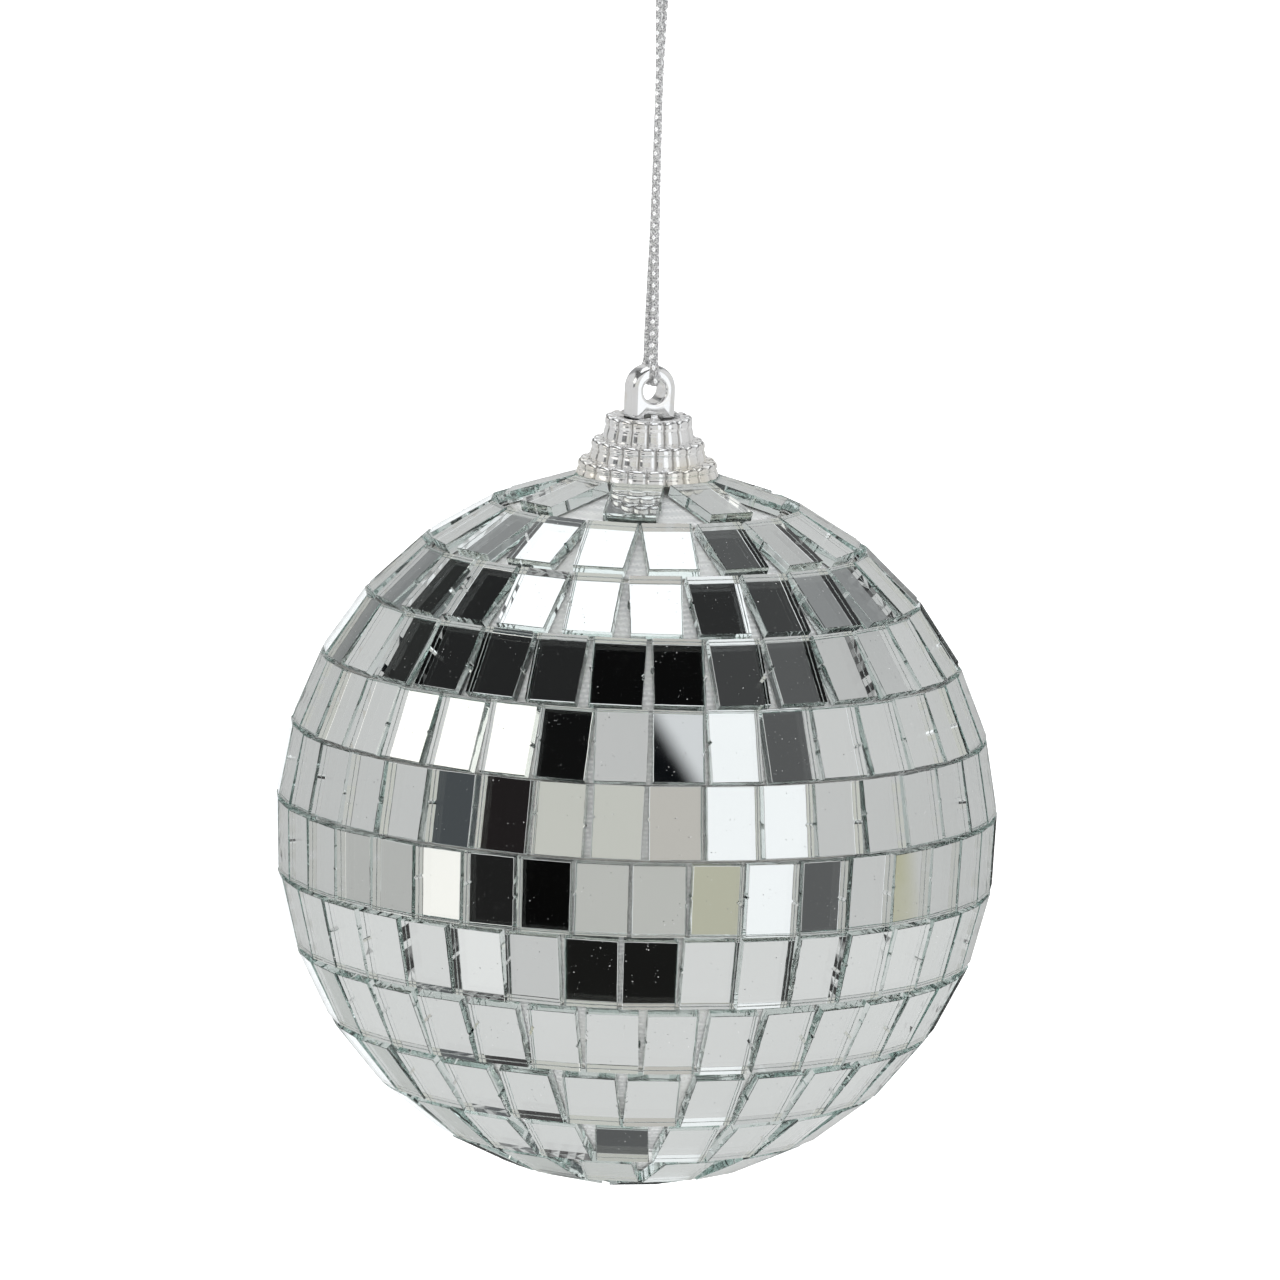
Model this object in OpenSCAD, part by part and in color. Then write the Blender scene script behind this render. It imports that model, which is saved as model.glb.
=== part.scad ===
// Small hanging mirror ball: glass mirror tiles on fabric strips round a foam core,
// a three-tier fluted cap with a hanger eye, and a doubled metallic cord.
// Hangs along Z from the origin, which is where a hook bears inside the cord's top loop.

/* [Ball] */
// Diameter over the tiles' corners
ball_d = 80; // [78:1:84]
// Distance from the hook's bearing point down to the ball's centre
hang_drop = 120; // [120:1:120]
// Latitude of the middle of each row of tiles, from the cap downwards, as laid by hand
row_lats = [73, 59.2, 46.4, 34.2, 22.1, 10.1, -2, -14.1, -26.7, -39.4, -51.7, -64, -76.2]; // one per row
// Tiles laid round each row
row_counts = [8, 18, 25, 31, 37, 39, 40, 38, 35, 29, 22, 14, 6]; // one per row
// Azimuth of the middle of the first tile in each row
row_turns = [-122, -147, -112, -131, -118, -118, -111, -112, -118, -110, -116, -121, -105]; // one per row

/* [Tiles] */
// Width of the mirror tiles in each row, round the ball
row_tile_w = [5.8, 5.65, 5.75, 5.8, 5.7, 5.8, 5.85, 5.85, 5.7, 5.75, 5.75, 5.8, 5.8]; // one width per row
// Width of the tile at the bottom pole
bottom_tile_w = 5.7; // [5:0.05:5.85]
// Height of a mirror tile, along a meridian
tile_h = 7.95; // [7:0.05:8]
// Thickness of the silvered glass
tile_t = 1.3; // [1:0.1:1.4]

/* [Core and backing] */
// Thickness of the fabric backing strips
strip_t = 0.25; // [0.15:0.05:0.3]
// Thickness of the glue coat on the foam
glue_t = 0.4; // [0.3:0.05:0.8]
// Radius of the hole in the foam for the hanger's stem
stem_hole_r = 2.2; // [2.1:0.05:2.6]
// Depth of that hole below the top of the foam
stem_hole_depth = 17; // [16:1:24]

/* [Cap] */
// Height of the cap's lower edge above the ball's centre
cap_base = 39.1; // [39.1:0.1:39.4]
// Radius at the foot of each tier, from the bottom tier up
tier_r = [7.9, 6.5, 5.1]; // one radius per tier
// Height of each tier
tier_h = [1.75, 2.25, 2.65]; // one height per tier
// Flutes round each tier
tier_flutes = [22, 20, 16]; // one count per tier
// Azimuth of the middle of one flute in each tier
tier_turns = [-107, -115, -104]; // one angle per tier
// How much a tier narrows from its foot to its shoulder
tier_taper = 0.4; // [0.2:0.05:0.5]
// Wall thickness of the cap
cap_wall = 0.7; // [0.5:0.05:0.8]

/* [Hanger eye] */
// Width of the eye's tab
eye_w = 5.3; // [5:0.1:5.6]
// Thickness of the eye's tab
eye_t = 2.9; // [2.5:0.1:2.9]
// Radius of the hole that the cord runs through
eye_hole_r = 1.35; // [1.3:0.05:1.4]
// Height of that hole's centre above the cap
eye_hole_up = 2.8; // [2.75:0.05:2.85]
// Radius of the stem below the cap
stem_r = 1.5; // [1.3:0.05:1.55]

/* [Cord] */
// Diameter of one strand of the cord
cord_d = 0.8; // [0.6:0.05:0.8]

/* [Hidden] */
$fn = 64;
eps = 0.01;

// The layers of the ball, as distances from its centre
face_r = sqrt(pow(ball_d / 2, 2) - pow(max(row_tile_w) / 2, 2) - pow(tile_h / 2, 2));
layer_gap = 0.02;
strip_outer = face_r - tile_t - layer_gap;
strip_inner = strip_outer - strip_t;
glue_r = strip_inner - layer_gap;
core_r = glue_r - glue_t;

// The fabric discs at the two poles
top_patch_r = 6.9;
bottom_patch_r = 4.8;
top_patch_hole_r = stem_hole_r + 0.1;

// Glue round the stem
stem_glue_r = stem_hole_r - 0.02;
stem_glue_bore_r = 1.92;
stem_glue_len = 12;
stem_glue_collar_r = 3.6;
stem_glue_collar_h = 0.6;

// The cap
cap_h = tier_h[0] + tier_h[1] + tier_h[2];
cap_top = cap_base + cap_h;
shoulder_r = 0.45;
flute_r = 0.42;
flute_depth = 0.4;
cap_recess_r = 3.4;
cap_recess_depth = 0.2;
stem_clearance = 0.05;

// The hanger eye
eye_round = 0.7;
eye_hole_z = cap_top + eye_hole_up;
eye_arch_z = eye_hole_z + 0.15;
eye_foot_z = cap_top - cap_recess_depth;
hole_chamfer = 0.3;
stem_len = 20;
barb_r = 1.85;
barb_h = 1.6;
barb_pitch = 4;
barb_count = 3;
barb_first = 7;

// Routes of the cord, in the frame of the whole part.
// From the face where the cord turns, up the front strand to the knot; the back strand is its half turn.
strand_route = [
    [0.04, -0.72, -63], [0.02, -0.56, -59], [-0.05, -0.46, -55], [-0.11, -0.44, -50], [-0.15, -0.43, -45],
    [-0.18, -0.41, -40], [-0.24, -0.38, -36], [-0.33, -0.3, -32], [-0.4, -0.21, -28.5], [-0.44, -0.12, -25],
    [-0.46, -0.04, -21], [-0.5, 0, -17], [-0.7, 0, -14], [-1.2, 0, -11], [-1.8, 0, -8], [-2.2, 0, -5.5],
    [-2.15, 0, -3.5], [-1.7, 0, -1.8], [-1, 0, -0.6], [-0.6, 0, 0.2], [-0.5, 0, 1]
];
// From that face down the front of the eye, to the middle of the bight under the eye's top bar
bight_route = [
    [0.04, -0.72, -63], [0.05, -0.76, -64.2], [0.05, -0.82, -65.5], [0.02, -0.9, -66.6],
    [-0.03, -1.01, -67.4], [-0.11, -1.18, -67.95], [-0.2, -1.45, -68.4], [-0.23, -1.76, -68.85],
    [-0.18, -1.91, -69.35], [-0.1, -1.98, -69.85], [-0.05, -1.87, -70.25], [-0.02, -1.45, -70.52],
    [0, -0.8, -70.58], [0, 0, -70.58]
];
tail_route = [[0.5, 0, 3.4], [0.6, 0, 4], [0.9, 0.1, 5], [1.4, 0.2, 6.2]];
knot_z = [1, 1.5, 2.9, 3.4];
knot_r = [1, 1.45, 1.45, 1];
tube_sides = 8;

// Height of the foot of a tier above the ball's centre
function tier_foot(i) = i == 0 ? cap_base : tier_foot(i - 1) + tier_h[i - 1];

function back_half(route) = [for (i = [len(route) - 2:-1:0]) [-route[i][0], -route[i][1], route[i][2]]];
function half_turned(route) = [for (p = route) [-p[0], -p[1], p[2]]];
function unit(v) = v / norm(v);
function heading(route, i) = unit(route[min(i + 1, len(route) - 1)] - route[max(i - 1, 0)]);
// End rings stay level where the route starts or ends upright
function ring_heading(route, i) =
    (i == 0 || i == len(route) - 1) ? [0, 0, sign(heading(route, i)[2])] : heading(route, i);
function ring(centre, along, r) =
    let (side = unit(cross(along, [1, 0.001, 0])), up = cross(side, along))
    [for (k = [0:tube_sides - 1])
        centre + r * (cos(k * 360 / tube_sides) * side + sin(k * 360 / tube_sides) * up)];

// A tube of the cord's thickness, swept along a route
module cord_tube(route) {
    rings = len(route);
    points = [for (i = [0:rings - 1]) each ring(route[i], ring_heading(route, i), cord_d / 2)];
    sides = [for (i = [0:rings - 2], k = [0:tube_sides - 1])
        [i * tube_sides + k, i * tube_sides + (k + 1) % tube_sides,
         (i + 1) * tube_sides + (k + 1) % tube_sides, (i + 1) * tube_sides + k]];
    first_end = [[for (k = [tube_sides - 1:-1:0]) k]];
    last_end = [[for (k = [0:tube_sides - 1]) (rings - 1) * tube_sides + k]];
    polyhedron(points, concat(sides, first_end, last_end), convexity = 4);
}

// Everything in the ball is drawn about the ball's centre, then hung in place
module hung() {
    translate([0, 0, -hang_drop]) children();
}

module foam_core() {
    color("white") hung() difference() {
        sphere(r = core_r);
        translate([0, 0, core_r - stem_hole_depth]) cylinder(r = stem_hole_r, h = stem_hole_depth + 1);
    }
}

module glue_coat() {
    color("ivory") hung() difference() {
        sphere(r = glue_r);
        sphere(r = core_r);
        cylinder(r = top_patch_hole_r, h = ball_d);
    }
}

// A curved disc of backing fabric at a pole, with an optional hole
module pole_patch(patch_r, hole_r) {
    difference() {
        intersection() {
            sphere(r = strip_outer);
            cylinder(r = patch_r, h = ball_d);
        }
        sphere(r = strip_inner);
        if (hole_r > 0) cylinder(r = hole_r, h = ball_d);
    }
}

module top_patch() {
    color("gainsboro") hung() pole_patch(top_patch_r, top_patch_hole_r);
}

module bottom_patch() {
    color("gainsboro") hung() mirror([0, 0, 1]) pole_patch(bottom_patch_r, 0);
}

// One fabric strip: the part of a cone that lies behind a row of tiles
module backing_strip(row) {
    color("gainsboro") hung() rotate_extrude() rotate(row_lats[row - 1])
        translate([strip_inner, -tile_h / 2]) square([strip_t, tile_h]);
}

// One silvered glass tile, facing along +X
module tile(width) {
    translate([face_r - tile_t, -width / 2, -tile_h / 2]) cube([tile_t, width, tile_h]);
}

module tile_row(row) {
    count = row_counts[row - 1];
    color("lightsteelblue") hung()
        for (i = [0:count - 1]) rotate([0, -row_lats[row - 1], row_turns[row - 1] + i * 360 / count])
            tile(row_tile_w[row - 1]);
}

module bottom_tile() {
    color("lightsteelblue") hung() rotate([0, 90, 20]) tile(bottom_tile_w);
}

// Outline of one tier, from its foot to its rounded shoulder, out from radius zero
module tier_outline(r, h) {
    top_r = r - tier_taper;
    polygon([
        [0, 0], [r, 0], [top_r, h - shoulder_r],
        for (a = [15:15:75]) [top_r - shoulder_r + shoulder_r * cos(a), h - shoulder_r + shoulder_r * sin(a)],
        [top_r - shoulder_r, h], [0, h]
    ]);
}

// The grooves between the flutes of a tier, leaning in with its taper
module flute_grooves(r, h, count, turn) {
    lean = atan(tier_taper / h);
    for (i = [0:count - 1]) rotate([0, 0, turn + (i + 0.5) * 360 / count])
        translate([r + flute_r - flute_depth, 0, -1]) rotate([0, -lean, 0])
            cylinder(r = flute_r, h = h + 2, $fn = 24);
}

module fluted_tier(i) {
    translate([0, 0, tier_foot(i)]) difference() {
        rotate_extrude() tier_outline(tier_r[i], tier_h[i]);
        flute_grooves(tier_r[i], tier_h[i], tier_flutes[i], tier_turns[i]);
    }
}

// The hollow under the cap: open at its foot, closed by a wall at the top
module cap_hollow() {
    wall = cap_wall + flute_depth + tier_taper;
    translate([0, 0, cap_base - eps]) cylinder(r = tier_r[0] - wall, h = tier_h[0] - cap_wall + eps);
    translate([0, 0, cap_base]) cylinder(r = tier_r[1] - wall, h = tier_h[0] + tier_h[1] - cap_wall);
    translate([0, 0, cap_base]) cylinder(r = tier_r[2] - wall, h = cap_h - cap_recess_depth - cap_wall);
}

module fluted_cap() {
    color("silver") hung() difference() {
        union() for (i = [0:2]) fluted_tier(i);
        cap_hollow();
        translate([0, 0, cap_top - cap_recess_depth]) cylinder(r = cap_recess_r, h = 1);
        cylinder(r = stem_r + stem_clearance, h = ball_d);
    }
}

// Section of the eye's tab seen from above: a rectangle with round corners
module tab_section(half_only) {
    intersection() {
        union() {
            square([eye_w, eye_t - 2 * eye_round], center = true);
            square([eye_w - 2 * eye_round, eye_t], center = true);
            for (sx = [-1, 1], sy = [-1, 1])
                translate([sx * (eye_w / 2 - eye_round), sy * (eye_t / 2 - eye_round)]) circle(r = eye_round);
        }
        if (half_only) translate([0, -eye_t]) square([eye_w, 2 * eye_t]);
        else square([2 * eye_w, 2 * eye_t], center = true);
    }
}

// The arched tab: an upright foot of the section, and the same section turned over the top
module eye_tab() {
    translate([0, 0, eye_foot_z]) linear_extrude(eye_arch_z - eye_foot_z) tab_section(false);
    translate([0, 0, eye_arch_z]) rotate([90, 0, 0]) rotate_extrude(angle = 180) tab_section(true);
}

// The hole through the tab, with a chamfer at each face
module eye_hole() {
    translate([0, 0, eye_hole_z]) rotate([90, 0, 0]) {
        cylinder(r = eye_hole_r, h = eye_t + 1, center = true);
        for (turn = [0, 180]) rotate([turn, 0, 0]) translate([0, 0, eye_t / 2 - hole_chamfer])
            cylinder(r1 = eye_hole_r, r2 = eye_hole_r + hole_chamfer + eps, h = hole_chamfer + eps);
    }
}

// The stem that is pushed into the foam, with barbs that point down
module barbed_stem() {
    translate([0, 0, eye_foot_z - stem_len]) cylinder(r = stem_r, h = stem_len + eps);
    for (i = [0:barb_count - 1]) translate([0, 0, eye_foot_z - barb_first - i * barb_pitch - barb_h])
        cylinder(r1 = stem_r, r2 = barb_r, h = barb_h);
}

module hanger_eye() {
    color("silver") hung() {
        difference() {
            eye_tab();
            eye_hole();
        }
        barbed_stem();
    }
}

module stem_glue() {
    collar_z = strip_outer + layer_gap;
    color("ivory") hung() difference() {
        union() {
            translate([0, 0, collar_z - stem_glue_len]) cylinder(r = stem_glue_r, h = stem_glue_len);
            translate([0, 0, collar_z]) cylinder(r = stem_glue_collar_r, h = stem_glue_collar_h);
        }
        translate([0, 0, collar_z - stem_glue_len - 1])
            cylinder(r = stem_glue_bore_r, h = stem_glue_len + stem_glue_collar_h + 2);
    }
}

module cord_front_strand() {
    color("lightgray") cord_tube(strand_route);
}

module cord_back_strand() {
    color("lightgray") cord_tube(half_turned(strand_route));
}

module cord_bight() {
    color("lightgray") cord_tube(concat(bight_route, back_half(bight_route)));
}

module cord_knot() {
    color("lightgray") rotate_extrude() polygon([
        [0, knot_z[0]], for (i = [0:3]) [knot_r[i], knot_z[i]], [0, knot_z[3]]
    ]);
}

module cord_tails() {
    color("lightgray") {
        cord_tube(tail_route);
        cord_tube(half_turned(tail_route));
    }
}

foam_core();
glue_coat();
top_patch();
bottom_patch();
backing_strip(1);  // backing_strip_01
backing_strip(2);  // backing_strip_02
backing_strip(3);  // backing_strip_03
backing_strip(4);  // backing_strip_04
backing_strip(5);  // backing_strip_05
backing_strip(6);  // backing_strip_06
backing_strip(7);  // backing_strip_07
backing_strip(8);  // backing_strip_08
backing_strip(9);  // backing_strip_09
backing_strip(10);  // backing_strip_10
backing_strip(11);  // backing_strip_11
backing_strip(12);  // backing_strip_12
backing_strip(13);  // backing_strip_13
tile_row(1);  // tile_row_01
tile_row(2);  // tile_row_02
tile_row(3);  // tile_row_03
tile_row(4);  // tile_row_04
tile_row(5);  // tile_row_05
tile_row(6);  // tile_row_06
tile_row(7);  // tile_row_07
tile_row(8);  // tile_row_08
tile_row(9);  // tile_row_09
tile_row(10);  // tile_row_10
tile_row(11);  // tile_row_11
tile_row(12);  // tile_row_12
tile_row(13);  // tile_row_13
bottom_tile();
fluted_cap();
hanger_eye();
stem_glue();
cord_front_strand();
cord_back_strand();
cord_bight();
cord_knot();
cord_tails();
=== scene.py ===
"""Looks of a small hanging mirror ball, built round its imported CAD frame.

Sizes are in millimetres until a mesh is made, and MM turns them into the frame's metres.
Angles are in degrees. A compass angle is a view azimuth: 0 is the -Y side of the ball, 90 is the +X side.
"""
import math
import random

import bpy
from mathutils import Matrix, Vector


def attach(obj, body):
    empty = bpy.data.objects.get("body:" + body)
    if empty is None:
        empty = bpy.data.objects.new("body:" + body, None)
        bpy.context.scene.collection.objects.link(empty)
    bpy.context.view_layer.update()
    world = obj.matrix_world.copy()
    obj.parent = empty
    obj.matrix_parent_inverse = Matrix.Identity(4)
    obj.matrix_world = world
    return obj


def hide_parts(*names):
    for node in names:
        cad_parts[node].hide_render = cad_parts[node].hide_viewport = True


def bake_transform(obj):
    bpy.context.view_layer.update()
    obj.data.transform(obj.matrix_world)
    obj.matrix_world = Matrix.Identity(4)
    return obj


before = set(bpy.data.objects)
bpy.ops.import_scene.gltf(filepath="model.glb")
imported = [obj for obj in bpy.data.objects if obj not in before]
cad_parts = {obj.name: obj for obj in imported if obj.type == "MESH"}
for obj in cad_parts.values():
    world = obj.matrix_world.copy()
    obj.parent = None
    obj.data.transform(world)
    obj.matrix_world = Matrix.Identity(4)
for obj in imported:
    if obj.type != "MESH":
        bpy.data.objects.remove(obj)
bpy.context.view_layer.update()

# ---------------------------------------------------------------- sizes
MM = 0.001

# The ball, as in the CAD
HANG_DROP = 120.0
BALL_D = 80.0
ROW_LATS = (73, 59.2, 46.4, 34.2, 22.1, 10.1, -2, -14.1, -26.7, -39.4, -51.7, -64, -76.2)
ROW_COUNTS = (8, 18, 25, 31, 37, 39, 40, 38, 35, 29, 22, 14, 6)
ROW_TURNS = (-122, -147, -112, -131, -118, -118, -111, -112, -118, -110, -116, -121, -105)
ROW_TILE_W = (5.8, 5.65, 5.75, 5.8, 5.7, 5.8, 5.85, 5.85, 5.7, 5.75, 5.75, 5.8, 5.8)
TILE_H = 7.95
TILE_T = 1.3
BOTTOM_TILE_W = 5.7
BOTTOM_TURN = 20.0
FACE_R = math.sqrt((BALL_D / 2) ** 2 - (max(ROW_TILE_W) / 2) ** 2 - (TILE_H / 2) ** 2)
LAYER_GAP = 0.02
STRIP_T = 0.25
STRIP_OUTER = FACE_R - TILE_T - LAYER_GAP
TOP_PATCH_R = 6.9
TOP_PATCH_HOLE_R = 2.3
BOTTOM_PATCH_R = 4.8

# The cap and the eye, as in the CAD, with heights above the ball's centre
CAP_BASE = 39.1
TIER_R = (7.9, 6.5, 5.1)
TIER_H = (1.75, 2.25, 2.65)
TIER_FLUTES = (22, 20, 16)
TIER_TURNS = (-107, -115, -104)
TIER_TAPER = 0.4
SHOULDER_R = 0.45
FLUTE_DEPTH = 0.4
CAP_TOP = CAP_BASE + sum(TIER_H)
CAP_WALL = 0.7
CAP_RECESS_R = 3.4
CAP_RECESS_DEPTH = 0.2
EYE_W = 5.3
EYE_T = 2.9
EYE_ROUND = 0.7
EYE_HOLE_R = 1.35
EYE_HOLE_Z = CAP_TOP + 2.8
EYE_ARCH_Z = EYE_HOLE_Z + 0.15
EYE_FOOT_Z = CAP_TOP - CAP_RECESS_DEPTH
HOLE_CHAMFER = 0.3
STEM_R = 1.5
STEM_LEN = 20.0
BARB_R = 1.85
BARB_H = 1.6
BARB_DEPTHS = (7.0, 11.0, 15.0)

# The cord and its route, as in the CAD, in the frame of the whole part. The tails start inside the knot here.
CORD_D = 0.8
STRAND_ROUTE = (
    (0.04, -0.72, -63), (0.02, -0.56, -59), (-0.05, -0.46, -55), (-0.11, -0.44, -50), (-0.15, -0.43, -45),
    (-0.18, -0.41, -40), (-0.24, -0.38, -36), (-0.33, -0.3, -32), (-0.4, -0.21, -28.5), (-0.44, -0.12, -25),
    (-0.46, -0.04, -21), (-0.5, 0, -17), (-0.7, 0, -14), (-1.2, 0, -11), (-1.8, 0, -8), (-2.2, 0, -5.5),
    (-2.15, 0, -3.5), (-1.7, 0, -1.8), (-1, 0, -0.6), (-0.6, 0, 0.2), (-0.5, 0, 1),
)
BIGHT_ROUTE = (
    (0.05, -0.76, -64.2), (0.05, -0.82, -65.5), (0.02, -0.9, -66.6), (-0.03, -1.01, -67.4),
    (-0.11, -1.18, -67.95), (-0.2, -1.45, -68.4), (-0.23, -1.76, -68.85), (-0.18, -1.91, -69.35),
    (-0.1, -1.98, -69.85), (-0.05, -1.87, -70.25), (-0.02, -1.45, -70.52), (0, -0.8, -70.58), (0, 0, -70.58),
)
TAIL_ROUTE = ((0.5, 0, 3.2), (0.6, 0, 4), (0.9, 0.1, 5), (1.4, 0.2, 6.2))

# The camera, from the ball's centre
VIEW_AZIMUTH = -25.0
VIEW_ELEVATION = 9.9
VIEW_DISTANCE = 1000.0
VIEW_ROLL = 1.8
AIM_UP = 1.17
AIM_RIGHT = 0.025
LENS = 254.0
SENSOR = 36.0

FLOOR_DROP = 330.0
FLOOR_R = 14000.0
FLOOR_SIDES = 96


# ---------------------------------------------------------------- helpers
def compass(azimuth, elevation):
    """Unit vector towards a view azimuth and elevation."""
    a, e = math.radians(azimuth), math.radians(elevation)
    return Vector((math.sin(a) * math.cos(e), -math.cos(a) * math.cos(e), math.sin(e)))


def turned(axis, angle):
    """4x4 rotation about an axis by an angle in degrees."""
    return Matrix.Rotation(math.radians(angle), 4, axis)


def lerp(a, b, t):
    """The number a share t of the way from a to b."""
    return a + (b - a) * t


def hung(point):
    """A point given about the ball's centre, in the frame of the whole part."""
    return Vector((point[0], point[1], point[2] - HANG_DROP))


def make_piece(name, points, faces, materials, slots=None, smooth=False):
    """Mesh object from points in millimetres, with one material index for each face."""
    mesh = bpy.data.meshes.new(name)
    mesh.from_pydata([Vector(p) * MM for p in points], [], faces)
    for material in materials:
        mesh.materials.append(material)
    if slots:
        mesh.polygons.foreach_set("material_index", slots)
    mesh.polygons.foreach_set("use_smooth", [smooth] * len(mesh.polygons))
    mesh.update()
    piece = bpy.data.objects.new(name, mesh)
    bpy.context.scene.collection.objects.link(piece)
    return piece


def grid_faces(rows, columns, wrap_rows=False):
    """Quads over a grid of points stored row by row, where each row runs all the way round."""
    faces = []
    for j in range(rows if wrap_rows else rows - 1):
        for i in range(columns):
            a, b = j * columns + i, j * columns + (i + 1) % columns
            c, d = (j + 1) % rows * columns + (i + 1) % columns, (j + 1) % rows * columns + i
            faces.append((a, b, c, d))
    return faces


def lathe(profile, sides):
    """Points and faces of a closed profile of (radius, height) turned about the vertical."""
    points = []
    for radius, height in profile:
        for i in range(sides):
            a = 2 * math.pi * i / sides
            points.append((radius * math.cos(a), radius * math.sin(a), height))
    return points, grid_faces(len(profile), sides, wrap_rows=True)


# Numbers of the colour sockets of a Mix node
MIX_A = 6
MIX_B = 7
MIX_RESULT = 2


class Shader:
    """A material's node tree, with short calls to add nodes to it."""

    def __init__(self, name):
        self.material = bpy.data.materials.new(name)
        self.material.use_nodes = True
        self.tree = self.material.node_tree
        self.surface = self.tree.nodes["Principled BSDF"]

    def node(self, kind, inputs=None, **settings):
        made = self.tree.nodes.new(kind)
        for key, value in settings.items():
            setattr(made, key, value)
        for key, value in (inputs or {}).items():
            self.put(made.inputs[key], value)
        return made

    def put(self, socket, value):
        if isinstance(value, bpy.types.NodeSocket):
            self.tree.links.new(value, socket)
        else:
            socket.default_value = value

    def set(self, **values):
        """Sets sockets of the Principled shader; an underscore stands for a space in a socket's name."""
        for key, value in values.items():
            self.put(self.surface.inputs[key.replace("_", " ")], value)

    def coords(self, kind="Object"):
        return self.node("ShaderNodeTexCoord").outputs[kind]

    def noise(self, coords, scale, detail=3.0, roughness=0.5):
        made = self.node("ShaderNodeTexNoise", {"Vector": coords, "Scale": scale, "Detail": detail,
                                                "Roughness": roughness})
        return made.outputs["Fac"]

    def voronoi(self, coords, scale, output="Distance"):
        made = self.node("ShaderNodeTexVoronoi", {"Vector": coords, "Scale": scale})
        return made.outputs[output]

    def remap(self, value, low, high, to_low=0.0, to_high=1.0):
        made = self.node("ShaderNodeMapRange", {"Value": value, "From Min": low, "From Max": high,
                                                "To Min": to_low, "To Max": to_high})
        return made.outputs["Result"]

    def math(self, operation, a, b=0.0):
        made = self.node("ShaderNodeMath", operation=operation)
        self.put(made.inputs[0], a)
        self.put(made.inputs[1], b)
        return made.outputs[0]

    def mix(self, factor, a, b):
        made = self.node("ShaderNodeMix", data_type="RGBA")
        self.put(made.inputs[0], factor)
        self.put(made.inputs[MIX_A], a)
        self.put(made.inputs[MIX_B], b)
        return made.outputs[MIX_RESULT]

    def bump(self, height, strength, distance):
        made = self.node("ShaderNodeBump", {"Height": height, "Strength": strength, "Distance": distance})
        self.set(Normal=made.outputs["Normal"])


# ---------------------------------------------------------------- camera
def place_camera():
    """The camera, far off, looking a little above the ball and rolled a little."""
    camera = bpy.data.objects.new("camera", bpy.data.cameras.new("camera"))
    camera.data.lens = LENS
    camera.data.sensor_width = SENSOR
    towards = compass(VIEW_AZIMUTH, VIEW_ELEVATION)
    at_ball = (-towards).to_track_quat("-Z", "Y").to_matrix().to_4x4()
    aim = turned("Z", VIEW_ROLL) @ turned("X", AIM_UP) @ turned("Y", -AIM_RIGHT)
    camera.matrix_world = Matrix.Translation(camera_place()) @ at_ball @ aim
    bpy.context.scene.collection.objects.link(camera)
    bpy.context.scene.camera = camera


def camera_place():
    """Where the camera stands, in metres."""
    return hung(compass(VIEW_AZIMUTH, VIEW_ELEVATION) * VIEW_DISTANCE) * MM


place_camera()


# ---------------------------------------------------------------- materials
def cord_material():
    """Silver braid: short bright stitches of foil in mottled grey thread."""
    s = Shader("metallic_cord")
    foil = s.node("ShaderNodeAttribute", attribute_name="foil").outputs["Fac"]
    uv = s.coords("UV")
    fibre = s.noise(uv, 3.6, 5.0)
    glint = s.remap(s.voronoi(uv, 2.4, "Color"), 0.3, 0.9)
    thread = s.mix(s.remap(fibre, 0.38, 0.62), (0.14, 0.14, 0.145, 1), (0.62, 0.62, 0.62, 1))
    metal = s.mix(glint, (0.88, 0.88, 0.89, 1), (1.0, 1.0, 1.0, 1))
    patch = s.remap(foil, 0.2, 0.5)
    s.set(Base_Color=s.mix(patch, thread, metal), Metallic=s.remap(foil, 0.3, 0.7, 0.1, 0.3),
          Roughness=s.remap(foil, 0.0, 1.0, 0.5, 0.25))
    s.bump(fibre, 0.5, 0.00004)
    return s.material


# ---------------------------------------------------------------- cord
CORD_STEP = 0.08
CORD_SIDES = 28
YARNS = 4
YARN_PITCH = 0.66
# Shares of the cord's radius, and of the braid's full height
BRAID_DEPTH = 0.22
MEAN_HEIGHT = 0.35
UNDER = 0.3
FOIL_RISE = 0.4
FAINT_FOIL = 0.42
TAIL_TAPER = 0.12


def mirrored(route):
    """The same route on the other strand: its half turn about the vertical."""
    return [(-x, -y, z) for x, y, z in route]


def spline(route, step):
    """Points a fixed step apart on a smooth curve through a route."""
    knots = [Vector(p) for p in route]
    dense = []
    for i in range(len(knots) - 1):
        before, a, b, after = knots[max(i - 1, 0)], knots[i], knots[i + 1], knots[min(i + 2, len(knots) - 1)]
        pieces = max(2, math.ceil((b - a).length / step * 3))
        for j in range(pieces):
            t = j / pieces
            dense.append(0.5 * (2 * a + (b - before) * t + (2 * before - 5 * a + 4 * b - after) * t * t
                                + (3 * a - before - 3 * b + after) * t ** 3))
    dense.append(knots[-1])
    lengths = [0.0]
    for a, b in zip(dense, dense[1:]):
        lengths.append(lengths[-1] + (b - a).length)
    count = round(lengths[-1] / step)
    points, k = [], 0
    for j in range(count + 1):
        target = lengths[-1] * j / count
        while k < len(lengths) - 2 and lengths[k + 1] < target:
            k += 1
        span = lengths[k + 1] - lengths[k]
        points.append(dense[k].lerp(dense[k + 1], (target - lengths[k]) / span))
    return points


def arch(t):
    """Height across one yarn, 0 at its sides and 1 along its middle."""
    return math.sqrt(max(0.0, 1 - (2 * (t % 1) - 1) ** 2))


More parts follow.
